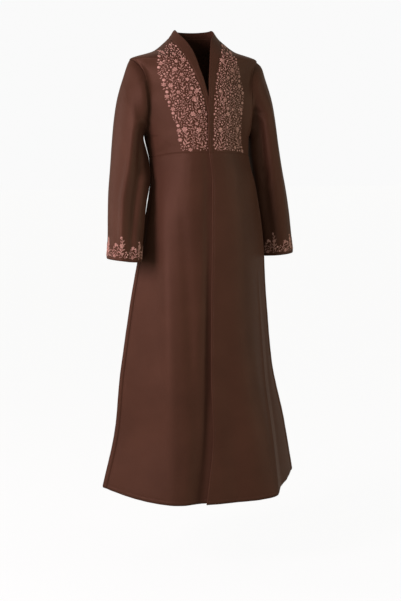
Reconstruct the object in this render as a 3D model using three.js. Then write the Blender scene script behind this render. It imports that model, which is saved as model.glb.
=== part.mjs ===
// An abaya: a full-length open-front robe of stiff satin, as it hangs when it is worn.
// Millimetres, +Z up. The front faces -Y and the wearer's right is -X.
// The origin is midway between the tops of the shoulders, where the wearer carries it.
import * as THREE from "three";

// ---- driving dimensions ----
const WALL = 2; // cloth with its facing
const SEAM = 0.3; // air between two pieces at a seam
const WAIST = -292; // seam under the embroidered bodice
const HEM = -1280; // lowest point of the hem, at the centre front
const HEM_LIFT = { right: 26, left: 35 }; // the side seams end this much higher
const WAIST_DROP = 14; // the waist seam is this much lower at the side seams
const UNDERLAP_DEPTH = WALL + 1; // how far the right front lies behind the left one at the waist
const UNDERLAP_FALL = { from: -480, depth: 13, run: 46 }; // and how much deeper and wider at the hem
const SHOULDER_RUN = 70; // height over which the round shoulder turns into the body
const UNDERLAP_RUN = 26; // width over which the right front moves back
const CLOTH = new THREE.Color(0x4a3028);

// Armhole: an ellipse as seen from the side, from the shoulder tip down to the underarm. Under
// the tip it turns in towards the chest within about the fall, and it scoops forward lower down.
const ARMHOLE = { tipX: 189, tipZ: -30, underX: 153, underZ: -245, halfDepth: 65, fall: 30, scoop: 14 };
const ARMHOLE_STEPS = 13;

// Level sections of the body. half: centre to the shoulder ridge, armhole or side seam.
// side, front, back: y of that line, of the centre front and of the centre back.
// nearFront, nearBack: y that the front and the back head for before they turn into that line.
// sway: sideways shift. plane: share of the half width that the flat front takes.
// soft: how gradually the front turns into the side. planeRight, softRight: on the right front.
const BODY = [
  [56, 55, 0, 0, 0, -62, 52, -2, 0.5, 0.5, 0.5, 0.5],
  [33, 71, 0, 0, 0, -70, 60, -2, 0.5, 0.5, 0.5, 0.5],
  [15, 91, 0, 0, 0, -79, 68, -1, 0.5, 0.5, 0.5, 0.5],
  [-5, 119, 0, 0, 0, -91, 77, 0, 0.5, 0.5, 0.5, 0.5],
  [-30, 189, 0, 0, 0, -105, 87, 0, 0.5, 0.5, 0.5, 0.5],
  [-90, 158, -4, -46, 40, -130, 101, 0, 0.5, 0.45, 0.5, 0.45],
  [-150, 154, -8, -64, 48, -141, 103, 0, 0.5, 0.42, 0.5, 0.42],
  [-245, 153, -14, -49, 8, -149, 95, 0, 0.5, 0.34, 0.5, 0.34],
  [-292, 149, -29, -44, -18, -153, 89, 5, 0.5, 0.3, 0.55, 0.28],
  [-373, 161, -45, -45, -45, -157, 90, 15, 0.5, 0.27, 0.62, 0.2],
  [-520, 184, -52, -52, -52, -168, 104, 12, 0.49, 0.23, 0.56, 0.2],
  [-727, 209, -50, -50, -50, -186, 124, 1, 0.49, 0.19, 0.52, 0.19],
  [-930, 233, -46, -46, -46, -203, 142, -3, 0.52, 0.15, 0.47, 0.18],
  [-1130, 265, -44, -44, -44, -221, 160, 8, 0.55, 0.13, 0.45, 0.18],
  [-1280, 296, -43, -43, -43, -236, 174, 4, 0.58, 0.11, 0.45, 0.19],
].map(([z, half, side, nearFront, nearBack, front, back, sway, plane, soft, planeRight, softRight]) => ({
  z, half, side, nearFront, nearBack, front, back, sway, plane, soft, planeRight, softRight,
}));
const LINE_TURN = 18; // power of the share of the half width with which they turn into the line

// Soft vertical folds of the skirt: how far across from the centre they run, as a share of the
// half width at their top and at the hem, how wide they are, and how far they stand out there.
const FOLDS = [
  { face: -1, top: 0.8, hem: 0.61, width: 0.075, from: -780, height: 8 },
  { face: -1, top: 0.9, hem: 0.78, width: 0.09, from: -860, height: -8 },
  { face: -1, top: -0.44, hem: -0.5, width: 0.13, from: -420, height: 6 },
  { face: -1, top: -0.72, hem: -0.72, width: 0.16, from: -700, height: 10 },
  { face: -1, top: 0.16, hem: 0.18, width: 0.12, from: -620, height: -4 },
  { face: 1, top: -0.7, hem: -0.72, width: 0.13, from: -480, height: 12 },
  { face: 1, top: -0.34, hem: -0.36, width: 0.15, from: -560, height: -9 },
  { face: 1, top: 0.05, hem: 0.04, width: 0.15, from: -420, height: 9 },
  { face: 1, top: 0.4, hem: 0.42, width: 0.14, from: -620, height: -10 },
  { face: 1, top: 0.74, hem: 0.76, width: 0.12, from: -520, height: 11 },
];

// Free edges of the two fronts and the line where each neck band meets the bodice: x from the
// middle of the section. A positive value lies on the panel's own side of the centre.
const FRONT_EDGE = [
  { z: 29, right: 46, left: 36, rightLine: 79, leftLine: 74 },
  { z: 22, right: 42, left: 32, rightLine: 75, leftLine: 70 },
  { z: -5, right: 31, left: 21, rightLine: 61, leftLine: 55 },
  { z: -30, right: 24, left: 15, rightLine: 49, leftLine: 44 },
  { z: -57, right: 18, left: 10, rightLine: 38, leftLine: 34 },
  { z: -93, right: 8, left: 4, rightLine: 25, leftLine: 24 },
  { z: -125, right: 1, left: 2, rightLine: 14, leftLine: 18 },
  { z: -150, right: -8, left: 0, rightLine: 8, leftLine: 14 },
  { z: -190, right: -15, left: -2, rightLine: 3, leftLine: 12 },
  { z: -245, right: -17, left: -5, rightLine: 2, leftLine: 9 },
  { z: -292, right: -14, left: -8, rightLine: 5, leftLine: 6 },
  { z: -480, right: -10, left: -11, rightLine: 9, leftLine: 3 },
  { z: -741, right: -14, left: -8, rightLine: 6, leftLine: 6 },
  { z: -949, right: -16, left: -10, rightLine: 6, leftLine: 6 },
  { z: -1050, right: -14, left: -15, rightLine: 6, leftLine: 6 },
  { z: -1280, right: 4, left: -40, rightLine: 6, leftLine: 6 },
];

// Sleeve rings from the armhole to the cuff: the inner and the outer point of each ring in the
// XZ plane, half its depth along Y, how far its middle lies forward, and the share of the
// armhole's turn towards the chest that the ring still has.
const SLEEVE = [
  { inX: 157, inZ: -249, outX: 204, outZ: -47, halfDepth: 66, ahead: 7, hollow: 0.8 },
  { inX: 160, inZ: -254, outX: 215, outZ: -80, halfDepth: 69, ahead: 7, hollow: 0.6 },
  { inX: 161, inZ: -261, outX: 226, outZ: -114, halfDepth: 71, ahead: 8, hollow: 0.42 },
  { inX: 160, inZ: -272, outX: 235, outZ: -150, halfDepth: 73, ahead: 9, hollow: 0.27 },
  { inX: 158, inZ: -290, outX: 243, outZ: -202, halfDepth: 73, ahead: 10, hollow: 0.12 },
  { inX: 157, inZ: -320, outX: 251, outZ: -268, halfDepth: 71, ahead: 12, hollow: 0 },
  { inX: 161, inZ: -366, outX: 262, outZ: -340, halfDepth: 68, ahead: 13, hollow: 0 },
  { inX: 169, inZ: -420, outX: 274, outZ: -405, halfDepth: 65, ahead: 12, hollow: 0 },
  { inX: 178, inZ: -480, outX: 283, outZ: -470, halfDepth: 62, ahead: 11, hollow: 0 },
  { inX: 187, inZ: -540, outX: 289, outZ: -530, halfDepth: 60, ahead: 10, hollow: 0 },
  { inX: 193, inZ: -598, outX: 295, outZ: -588, halfDepth: 61, ahead: 10, hollow: 0 },
];
// Each sleeve's shift along X, and how far it swings forward and outward down to its cuff.
const SWING = {
  right: { shift: 5, ahead: 84, out: -6 },
  left: { shift: 0, ahead: -8, out: 12 },
};

// Rows of points above the armhole: heights at the shoulder seam, on the neck band's seam and
// on the free neck edge, which all lie lower towards the front.
const COLLAR_ROWS = [
  { side: 33, line: 22, edge: 29 },
  { side: 21, line: 12, edge: 18 },
  { side: 9, line: 2, edge: 7 },
  { side: -3, line: -8, edge: -5 },
  { side: -12, line: -16, edge: -14 },
  { side: -20, line: -22, edge: -21 },
  { side: -26, line: -27, edge: -27 },
];
const COLLAR_TOP = 56; // the neck edge at the shoulder seam
const COLLAR_BACK_DIP = 4; // and how much lower it is at the centre back
const COLLAR_BEND = 1.5; // how softly it leaves the shoulder seam towards the front
const SIDE_ROWS = [-262, -277];
const SKIRT_ROWS = 15;
const WAIST_AIR = 2 * SEAM; // wider, because the columns above and below the waist seam differ
const BODICE_COLUMNS = 10;
const SKIRT_COLUMNS = 14;
const BACK_COLUMNS = 26;
const BAND_COLUMNS = 2;
const BACK_BAND_ROWS = 3;
const SLEEVE_SIDES = 2 * ARMHOLE_STEPS; // so that its first ring meets the rows at the armhole

// ---- reading the tables ----
const clamp = (value, low, high) => Math.min(high, Math.max(low, value));
const mix = (a, b, t) => a + (b - a) * t;
const smooth = (t) => {
  const k = clamp(t, 0, 1);
  return k * k * (3 - 2 * k);
};

// The slope of a column at a row, limited so that the curve through the rows never overshoots.
function slopeAt(table, i, column) {
  const step = (k) => (table[k + 1][column] - table[k][column]) / (table[k + 1].z - table[k].z);
  if (i === 0) return step(0);
  if (i === table.length - 1) return step(i - 1);
  const [before, after] = [step(i - 1), step(i)];
  return before * after <= 0 ? 0 : (2 * before * after) / (before + after);
}

// A column's value at a height, on a smooth curve through the table's rows.
function at(table, z, column) {
  const last = table.length - 1;
  if (z >= table[0].z) return table[0][column];
  if (z <= table[last].z) return table[last][column];
  const i = table.findIndex((row) => row.z <= z) - 1;
  const width = table[i + 1].z - table[i].z;
  const t = (z - table[i].z) / width;
  const [a, b] = [table[i][column], table[i + 1][column]];
  const [slopeA, slopeB] = [slopeAt(table, i, column) * width, slopeAt(table, i + 1, column) * width];
  return (
    (2 * t ** 3 - 3 * t ** 2 + 1) * a +
    (t ** 3 - 2 * t ** 2 + t) * slopeA +
    (3 * t ** 2 - 2 * t ** 3) * b +
    (t ** 3 - t ** 2) * slopeB
  );
}

// ---- the form of the body ----
const nameOf = (side) => (side < 0 ? "right" : "left");
const inArmhole = (z) => z < ARMHOLE.tipZ && z > ARMHOLE.underZ;
const armholeX = (z) => mix(ARMHOLE.underX, ARMHOLE.tipX, Math.exp((z - ARMHOLE.tipZ) / ARMHOLE.fall));
const armholeMiddle = (z) => (-ARMHOLE.scoop * (ARMHOLE.tipZ - z)) / (ARMHOLE.tipZ - ARMHOLE.underZ);

// The armhole's y at a height, in front or at the back.
function armholeY(face, z) {
  const middle = (ARMHOLE.tipZ + ARMHOLE.underZ) / 2;
  const up = (z - middle) / (ARMHOLE.tipZ - middle);
  return armholeMiddle(z) + face * ARMHOLE.halfDepth * Math.sqrt(Math.max(0, 1 - up * up));
}

// From 1 at the centre to 0 at the side line: a plane, a soft corner and a plane.
function cornered(across, plane, soft) {
  const bend = (s) => Math.hypot(s - plane, soft) + (s - plane);
  return (bend(1) - bend(across)) / (bend(1) - bend(0));
}

const foldAt = (face, across, z) =>
  FOLDS.filter((fold) => fold.face === face).reduce((sum, fold) => {
    const run = clamp((fold.from - z) / (fold.from - HEM), 0, 1);
    const off = (across - mix(fold.top, fold.hem, run)) / (fold.width * (1.25 - 0.25 * run));
    return sum + fold.height * smooth(run) * Math.exp(-off * off);
  }, 0);

// How much higher than its row a point at the side line of one side lies.
const sideLift = (z, side) =>
  z > WAIST
    ? -WAIST_DROP * smooth((ARMHOLE.underZ - z) / (ARMHOLE.underZ - WAIST))
    : mix(-WAIST_DROP, HEM_LIFT[nameOf(side)], smooth((WAIST - z) / (WAIST - HEM)));

const halfAt = (z) => (inArmhole(z) ? armholeX(z) : at(BODY, z, "half"));
const belowShoulder = (z) => smooth((ARMHOLE.tipZ - z) / SHOULDER_RUN);

// The share of the half width that a turn from -1 to 1 reaches. Turns crowd towards the round
// shoulder and are evenly spread below it.
const acrossOf = (turn, z) => mix(Math.sin((turn * Math.PI) / 2), turn, belowShoulder(z));

// The turn at which a row reaches a given x from its middle.
function turnOf(x, z) {
  const target = x / halfAt(z);
  let [low, high] = [-1, 1];
  for (let k = 0; k < 40; k++) {
    const middle = (low + high) / 2;
    if (acrossOf(middle, z) < target) low = middle;
    else high = middle;
  }
  return (low + high) / 2;
}

// A point of the outer surface. face: -1 front, 1 back. turn: -1 at the wearer's right side
// line, 0 at the centre and 1 at the left side line.
function bodyPoint(face, turn, z) {
  const across = acrossOf(turn, z);
  const wide = Math.abs(across);
  const line = inArmhole(z) ? armholeY(face, z) : at(BODY, z, "side");
  const near = at(BODY, z, face < 0 ? "nearFront" : "nearBack");
  const middle = at(BODY, z, face < 0 ? "front" : "back");
  const round = Math.sqrt(Math.max(0, 1 - wide * wide));
  const own = face < 0 && turn < 0 ? "Right" : "";
  const flat = cornered(wide, at(BODY, z, "plane" + own), at(BODY, z, "soft" + own));
  const profile = mix(round, flat, belowShoulder(z));
  const fold = foldAt(face, across, z) * profile;
  return new THREE.Vector3(
    at(BODY, z, "sway") + (halfAt(z) + fold) * across,
    near + (middle - near) * profile + (line - near) * wide ** LINE_TURN + face * fold,
    z + sideLift(z, turn) * wide ** 4,
  );
}

const edgeTurn = (side, z) => turnOf(side * at(FRONT_EDGE, z, nameOf(side)), z);
const lineTurn = (side, z) => turnOf(side * at(FRONT_EDGE, z, nameOf(side) + "Line"), z);

// A point of one of the fronts. The right one moves back where the left one lies on it.
function frontPoint(side, turn, z) {
  const point = bodyPoint(-1, turn, z);
  if (side > 0) return point;
  const overEdge = bodyPoint(-1, edgeTurn(1, z), z).x;
  const fall = smooth((UNDERLAP_FALL.from - z) / (UNDERLAP_FALL.from - HEM));
  const run = UNDERLAP_RUN + UNDERLAP_FALL.run * fall;
  point.y += (UNDERLAP_DEPTH + UNDERLAP_FALL.depth * fall) * smooth((point.x - overEdge + run + 3) / run);
  return point;
}

// ---- from grids of points to closed walls ----
const TURN_STEP = 0.007;
const isSideLine = (turn) => Math.abs(turn) > 0.9999;

// The outward normal of a surface given by a point for each turn and height.
function normalOf(surface, face, turn, z) {
  const [low, high] = [Math.max(turn - TURN_STEP, -1), Math.min(turn + TURN_STEP, 1)];
  const over = surface(high, z).sub(surface(low, z));
  const up = surface(turn, z + 1).sub(surface(turn, z - 1));
  return up.cross(over).multiplyScalar(face).normalize();
}

// Rows of points with their normals, from rows of [turn, height].
const gridOf = (surface, face, rows) =>
  rows.map((row) =>
    row.map(([turn, z]) => ({ turn, z, point: surface(turn, z), normal: normalOf(surface, face, turn, z) })),
  );

// The inner points of a wall. At the ends of its rows on a seam between front and back, and at
// its level seams, the rim follows the seam.
function innerPoints(grid, levelTop) {
  return grid.map((row, j) =>
    row.map(({ point, normal, turn, z }) => {
      const way = normal.clone();
      const onSeam = isSideLine(turn) && !isOpenSide(z);
      if (onSeam) way.y = 0;
      if ((onSeam && z < ARMHOLE.tipZ - 1) || (j === 0 && levelTop) || j === grid.length - 1) way.z = 0;
      way.normalize();
      const inner = point.clone().addScaledVector(way, -WALL / clamp(way.dot(normal), 0.5, 1));
      const atArmhole = isSideLine(turn) && z <= ARMHOLE.tipZ && z >= ARMHOLE.underZ;
      if (atArmhole) inner.x = turn * Math.min(turn * inner.x, armholeX(inner.z));
      return inner;
    }),
  );
}

// One closed body between an outer and an inner grid of points.
function wallGeometry(outer, inner, flip) {
  const [rows, columns] = [outer.length, outer[0].length];
  const positions = [...outer.flat(), ...inner.flat()].flatMap((p) => [p.x, p.y, p.z]);
  const index = [];
  const id = (layer, j, i) => (layer * rows + j) * columns + i;
  const quad = (a, b, c, d) => (flip > 0 ? index.push(a, b, c, a, c, d) : index.push(a, c, b, a, d, c));
  for (let j = 0; j < rows - 1; j++)
    for (let i = 0; i < columns - 1; i++) {
      quad(id(0, j, i), id(0, j + 1, i), id(0, j + 1, i + 1), id(0, j, i + 1));
      quad(id(1, j, i), id(1, j, i + 1), id(1, j + 1, i + 1), id(1, j + 1, i));
    }
  for (let i = 0; i < columns - 1; i++) {
    quad(id(0, 0, i), id(0, 0, i + 1), id(1, 0, i + 1), id(1, 0, i));
    quad(id(0, rows - 1, i + 1), id(0, rows - 1, i), id(1, rows - 1, i), id(1, rows - 1, i + 1));
  }
  for (let j = 0; j < rows - 1; j++) {
    quad(id(0, j + 1, 0), id(0, j, 0), id(1, j, 0), id(1, j + 1, 0));
    quad(id(0, j, columns - 1), id(0, j + 1, columns - 1), id(1, j + 1, columns - 1), id(1, j, columns - 1));
  }
  const geometry = new THREE.BufferGeometry();
  geometry.setAttribute("position", new THREE.Float32BufferAttribute(positions, 3));
  geometry.setIndex(index);
  geometry.computeVertexNormals();
  return geometry;
}

const abaya = new THREE.Group();

function addPiece(name, geometry, colour = CLOTH) {
  const material = new THREE.MeshStandardMaterial({ color: colour, roughness: 0.5, metalness: 0 });
  const mesh = new THREE.Mesh(geometry, material);
  mesh.name = name;
  abaya.add(mesh);
}

// A panel of the body. Its side seams take half of the air of a seam.
function addPanel(name, face, grid, levelTop) {
  for (const item of grid.flat()) if (isSideLine(item.turn)) item.point.y += (face * SEAM) / 2;
  const outer = grid.map((row) => row.map((item) => item.point));
  addPiece(name, wallGeometry(outer, innerPoints(grid, levelTop), 1));
}

// Moves a panel's top row down by the air of its seam.
const lowered = (grid, air = SEAM) => {
  grid[0].forEach((item) => (item.point.z -= air));
  return grid;
};

// ---- rows of the body ----
const level = (z) => ({ side: z, line: z, edge: z });
const armholeRows = Array.from({ length: ARMHOLE_STEPS + 1 }, (_, k) => {
  const middle = (ARMHOLE.tipZ + ARMHOLE.underZ) / 2;
  return level(middle + (ARMHOLE.tipZ - middle) * Math.cos((Math.PI * k) / ARMHOLE_STEPS));
});
const bodiceRows = [...COLLAR_ROWS, ...armholeRows, ...SIDE_ROWS.map(level), level(WAIST)];
const skirtRows = Array.from({ length: SKIRT_ROWS + 1 }, (_, k) => mix(WAIST, HEM, k / SKIRT_ROWS));
const isOpenSide = (z) => z < ARMHOLE.tipZ - 0.01 && z > ARMHOLE.underZ + 0.01;

// ---- pieces ----
// Evenly spaced steps between two [turn, height] pairs, from the wearer's right to the left.
function steps(side, inner, outer, columns) {
  const [from, to] = side < 0 ? [outer, inner] : [inner, outer];
  return Array.from({ length: columns + 1 }, (_, i) => [
    mix(from[0], to[0], i / columns),
    mix(from[1], to[1], i / columns),
  ]);
}

// The turn that leaves a little more than the air of a seam, because the neck line runs slanting.
const gapTurn = (z) => ((z > ARMHOLE.tipZ ? 2 / Math.PI : 1) * 1.6 * SEAM) / halfAt(z);

function addFrontBodice(side) {
  const rows = bodiceRows.map((row) => {
    const inner = [lineTurn(side, row.line) + side * gapTurn(row.line), row.line];
    return steps(side, inner, [side, row.side], BODICE_COLUMNS);
  });
  const surface = (turn, z) => frontPoint(side, turn, z);
  addPanel("front_bodice_" + nameOf(side), -1, lowered(gridOf(surface, -1, rows)), false);
}

function addFrontSkirt(side) {
  const rows = skirtRows.map((z) => steps(side, [edgeTurn(side, z), z], [side, z], SKIRT_COLUMNS));
  const surface = (turn, z) => frontPoint(side, turn, z);
  addPanel("front_skirt_" + nameOf(side), -1, lowered(gridOf(surface, -1, rows), WAIST_AIR), true);
}

// The neck band of one front: round the neck from the shoulder seam, then down to the waist.
function addFrontBand(side) {
  const first = bodiceRows[0];
  const across = Array.from({ length: BODICE_COLUMNS }, (_, k) => {
    const share = k / BODICE_COLUMNS;
    const height = mix(COLLAR_TOP, first.edge, share ** COLLAR_BEND);
    const edge = [mix(side, edgeTurn(side, first.edge), share), height];
    const line = [mix(side, lineTurn(side, first.line), share), mix(first.side, first.line, share)];
    return steps(side, edge, line, BAND_COLUMNS);
  });
  const down = bodiceRows.map((row) =>
    steps(side, [edgeTurn(side, row.edge), row.edge], [lineTurn(side, row.line), row.line], BAND_COLUMNS),
  );
  const surface = (turn, z) => frontPoint(side, turn, z);
  addPanel("neck_band_" + nameOf(side), -1, gridOf(surface, -1, [...across, ...down]), false);
}

// The neck band across the back of the neck, from one shoulder seam to the other.
function addBackBand() {
  const rows = Array.from({ length: BACK_BAND_ROWS + 1 }, (_, j) =>
    Array.from({ length: BACK_COLUMNS + 1 }, (_, i) => {
      const turn = mix(1, -1, i / BACK_COLUMNS);
      const top = COLLAR_TOP - COLLAR_BACK_DIP * (1 - turn ** 2);
      return [turn, mix(top, bodiceRows[0].side, j / BACK_BAND_ROWS)];
    }),
  );
  addPanel("neck_band_back", 1, gridOf((turn, z) => bodyPoint(1, turn, z), 1, rows), false);
}

function addBack() {
  const heights = [...bodiceRows.map((row) => row.side), ...skirtRows.slice(1)];
  const rows = heights.map((z) =>
    Array.from({ length: BACK_COLUMNS + 1 }, (_, i) => [mix(1, -1, i / BACK_COLUMNS), z]),
  );
  addPanel("back", 1, lowered(gridOf((turn, z) => bodyPoint(1, turn, z), 1, rows)), false);
}

// A ring of a sleeve, and the same ring drawn in by the wall within its own surface.
function sleeveRing(side, { inX, inZ, outX, outZ, halfDepth, ahead, hollow }, isTop) {
  const swing = SWING[nameOf(side)];
  const below = (z) => smooth((ARMHOLE.underZ - z) / (ARMHOLE.underZ - SLEEVE.at(-1).inZ));
  const sway = at(BODY, inZ, "sway") * smooth((ARMHOLE.underZ - inZ) / 60) * (1 - below(inZ));
  const shift = isTop ? 0 : swing.shift;
  const inner = new THREE.Vector3(side * (inX + swing.out * below(inZ)) + sway, 0, inZ);
  const outer = new THREE.Vector3(side * (outX + swing.out * below(outZ)) + shift, 0, outZ);
  const draw = (wall) =>
    Array.from({ length: SLEEVE_SIDES }, (_, i) => {
      const angle = (2 * Math.PI * i) / SLEEVE_SIDES;
      const half = inner.distanceTo(outer) / 2;
      const up = (1 + Math.cos(angle) * (1 - wall / half)) / 2;
      const point = inner.clone().lerp(outer, up);
      const z = mix(ARMHOLE.underZ, ARMHOLE.tipZ, up);
      const straight = mix(ARMHOLE.underX, ARMHOLE.tipX, up);
      point.x += side * hollow * (armholeX(z) - straight);
      const middle = isTop ? armholeMiddle(z) : -ahead - swing.ahead * below((inZ + outZ) / 2);
      point.y = middle - Math.sin(angle) * (halfDepth - wall);
      return point;
    });
  return [draw(0), draw(WALL)];
}

// A tube through rings, with a wall and two open ends.
function addSleeve(side) {
  const top = {
    inX: armholeX(ARMHOLE.underZ) + SEAM,
    inZ: ARMHOLE.underZ,
    outX: ARMHOLE.tipX + SEAM,
    outZ: ARMHOLE.tipZ,
    halfDepth: ARMHOLE.halfDepth,
    hollow: 1,
  };
  const rings = [sleeveRing(side, top, true), ...SLEEVE.map((row) => sleeveRing(side, row, false))];
  const close = (ring) => [...ring, ring[0]];
  const outer = rings.map(([ring]) => close(ring));
  const inner = rings.map(([, ring]) => close(ring));
  addPiece("sleeve_" + nameOf(side), tubeGeometry(outer, inner, -side));
}

// One closed tube wall between rings of outer and of inner points, the last point of each ring
// being its first one again.
function tubeGeometry(outer, inner, flip) {
  const geometry = wallGeometry(outer, inner, flip);
  const sides = outer[0].length - 1;
  const rings = outer.length;
  const ends = 2 * 6 * (rings - 1);
  const index = [...geometry.index.array].slice(0, -ends);
  const columns = sides + 1;
  geometry.setIndex(index.map((id) => (id % columns === sides ? id - sides : id)));
  return geometry;
}

addBackBand();
addBack();
for (const side of [-1, 1]) {
  addFrontBand(side);
  addFrontBodice(side);
  addFrontSkirt(side);
  addSleeve(side);
}

export default abaya;
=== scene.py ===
"""The looks of an abaya: a full-length open-front robe of stiff chocolate-brown satin.

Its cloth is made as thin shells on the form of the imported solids, with seams, turned edges,
topstitching, creases and raised embroidery. Lengths are in millimetres until a mesh is made.
The front faces -Y and the wearer's right is -X.
"""

from math import atan2, cos, pi, radians, sin

import bpy
import numpy as np
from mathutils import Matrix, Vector


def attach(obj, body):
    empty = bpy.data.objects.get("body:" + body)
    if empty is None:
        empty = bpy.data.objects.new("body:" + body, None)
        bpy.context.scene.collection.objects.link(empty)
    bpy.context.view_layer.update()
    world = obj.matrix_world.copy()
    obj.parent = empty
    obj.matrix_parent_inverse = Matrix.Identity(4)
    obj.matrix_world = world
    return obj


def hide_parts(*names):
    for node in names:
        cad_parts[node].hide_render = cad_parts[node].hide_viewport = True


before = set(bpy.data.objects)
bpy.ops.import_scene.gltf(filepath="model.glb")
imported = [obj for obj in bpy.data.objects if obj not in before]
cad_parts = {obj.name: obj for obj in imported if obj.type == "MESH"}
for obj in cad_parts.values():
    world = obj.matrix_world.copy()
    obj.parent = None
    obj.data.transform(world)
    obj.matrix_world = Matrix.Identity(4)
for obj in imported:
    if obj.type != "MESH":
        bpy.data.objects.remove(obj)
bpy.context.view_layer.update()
scene = bpy.context.scene

# ---- driving dimensions, in millimetres, the same as in the part's source ----
MM = 0.001
WAIST = -292.0  # seam under the embroidered bodice
HEM = -1280.0  # lowest point of the hem, at the centre front
HEM_LIFT = {-1: 26.0, 1: 35.0}  # the side seams end this much higher
WAIST_DROP = 14.0  # the waist seam is this much lower at the side seams
SLOPE_TURN = 4  # power of the share across with which rows rise or drop towards the side seams
UNDERLAP_DEPTH, UNDERLAP_RUN = 3.0, 26.0  # the right front moves back by this over this width
UNDERLAP_PAST = 3.0  # and is all the way back this far before the left front's edge
FALL_FROM, FALL_DEPTH, FALL_RUN = -480.0, 13.0, 46.0  # and by this much more down to the hem
SHOULDER_RUN = 70.0  # height over which the round shoulder turns into the body

# Armhole: an ellipse as seen from the side, which turns in under the tip and scoops forward.
TIP_X, TIP_Z = 189.0, -30.0
UNDER_X, UNDER_Z = 153.0, -245.0
ARMHOLE_HALF, ARMHOLE_FALL, ARMHOLE_SCOOP = 65.0, 30.0, 14.0
ARMHOLE_STEPS = 13


def table(columns, rows):
    """A table's columns by name, each as an array."""
    return dict(zip(columns.split(), np.array(rows, float).T))


# Level sections of the body: half width, y of the side line, y that the front and the back head
# for before they turn into it, y of the centre front and back, shift, and where and how softly
# the front turns its corner, which differs on the right front.
BODY = table(
    "z half side near_front near_back front back sway plane soft right_plane right_soft", [
    (56, 55, 0, 0, 0, -62, 52, -2, 0.5, 0.5, 0.5, 0.5),
    (33, 71, 0, 0, 0, -70, 60, -2, 0.5, 0.5, 0.5, 0.5),
    (15, 91, 0, 0, 0, -79, 68, -1, 0.5, 0.5, 0.5, 0.5),
    (-5, 119, 0, 0, 0, -91, 77, 0, 0.5, 0.5, 0.5, 0.5),
    (-30, 189, 0, 0, 0, -105, 87, 0, 0.5, 0.5, 0.5, 0.5),
    (-90, 158, -4, -46, 40, -130, 101, 0, 0.5, 0.45, 0.5, 0.45),
    (-150, 154, -8, -64, 48, -141, 103, 0, 0.5, 0.42, 0.5, 0.42),
    (-245, 153, -14, -49, 8, -149, 95, 0, 0.5, 0.34, 0.5, 0.34),
    (-292, 149, -29, -44, -18, -153, 89, 5, 0.5, 0.3, 0.55, 0.28),
    (-373, 161, -45, -45, -45, -157, 90, 15, 0.5, 0.27, 0.62, 0.2),
    (-520, 184, -52, -52, -52, -168, 104, 12, 0.49, 0.23, 0.56, 0.2),
    (-727, 209, -50, -50, -50, -186, 124, 1, 0.49, 0.19, 0.52, 0.19),
    (-930, 233, -46, -46, -46, -203, 142, -3, 0.52, 0.15, 0.47, 0.18),
    (-1130, 265, -44, -44, -44, -221, 160, 8, 0.55, 0.13, 0.45, 0.18),
    (-1280, 296, -43, -43, -43, -236, 174, 4, 0.58, 0.11, 0.45, 0.19),
])
LINE_TURN = 18  # power of the share across with which they turn into the side line

# Soft vertical folds of the skirt: face, share across at the top and at the hem, width as a
# share, where it starts, and how far it stands out at the hem.
FOLD_SPREAD = 0.25  # a fold is this share wider where it starts
FOLDS = [
    (-1, 0.8, 0.61, 0.075, -780, 8),
    (-1, 0.9, 0.78, 0.09, -860, -8),
    (-1, -0.44, -0.5, 0.13, -420, 6),
    (-1, -0.72, -0.72, 0.16, -700, 10),
    (-1, 0.16, 0.18, 0.12, -620, -4),
    (1, -0.7, -0.72, 0.13, -480, 12),
    (1, -0.34, -0.36, 0.15, -560, -9),
    (1, 0.05, 0.04, 0.15, -420, 9),
    (1, 0.4, 0.42, 0.14, -620, -10),
    (1, 0.74, 0.76, 0.12, -520, 11),
]

# x of the free edges of the two fronts, and of the line where each neck band meets its bodice.
FRONT_EDGE = table("z right left right_line left_line", [
    (29, 46, 36, 79, 74),
    (22, 42, 32, 75, 70),
    (-5, 31, 21, 61, 55),
    (-30, 24, 15, 49, 44),
    (-57, 18, 10, 38, 34),
    (-93, 8, 4, 25, 24),
    (-125, 1, 2, 14, 18),
    (-150, -8, 0, 8, 14),
    (-190, -15, -2, 3, 12),
    (-245, -17, -5, 2, 9),
    (-292, -14, -8, 5, 6),
    (-480, -10, -11, 9, 3),
    (-741, -14, -8, 6, 6),
    (-949, -16, -10, 6, 6),
    (-1050, -14, -15, 6, 6),
    (-1280, 4, -40, 6, 6),
])

# Sleeve rings: inner and outer point in the XZ plane, half depth, how far ahead the middle lies,
# and the share of the armhole's turn that is left.
SLEEVE = [
    (157, -249, 204, -47, 66, 7, 0.8),
    (160, -254, 215, -80, 69, 7, 0.6),
    (161, -261, 226, -114, 71, 8, 0.42),
    (160, -272, 235, -150, 73, 9, 0.27),
    (158, -290, 243, -202, 73, 10, 0.12),
    (157, -320, 251, -268, 71, 12, 0),
    (161, -366, 262, -340, 68, 13, 0),
    (169, -420, 274, -405, 65, 12, 0),
    (178, -480, 283, -470, 62, 11, 0),
    (187, -540, 289, -530, 60, 10, 0),
    (193, -598, 295, -588, 61, 10, 0),
]
SLEEVE_END = -598.0
SWAY_RUN = 60.0  # height below the armhole over which a sleeve takes up the body's sway
SWING = {-1: (5, 84, -6), 1: (0, -8, 12)}  # shift along X, swing forward and outward at the cuff

# Rows above the armhole: heights at the shoulder seam, on the neck band's seam, on the neck edge.
COLLAR_ROWS = [
    (33, 22, 29),
    (21, 12, 18),
    (9, 2, 7),
    (-3, -8, -5),
    (-12, -16, -14),
    (-20, -22, -21),
    (-26, -27, -27),
]
COLLAR_TOP, COLLAR_BACK_DIP, COLLAR_BEND = 56.0, 4.0, 1.5
WAIST_ROWS = (-262, -277, WAIST)  # level rows below the armhole


# ---- the form of the garment ----
def mix(a, b, t):
    return a + (b - a) * t


def smooth(t):
    k = np.clip(t, 0, 1)
    return k * k * (3 - 2 * k)


def bell(x):
    return np.exp(-x * x)


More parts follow.
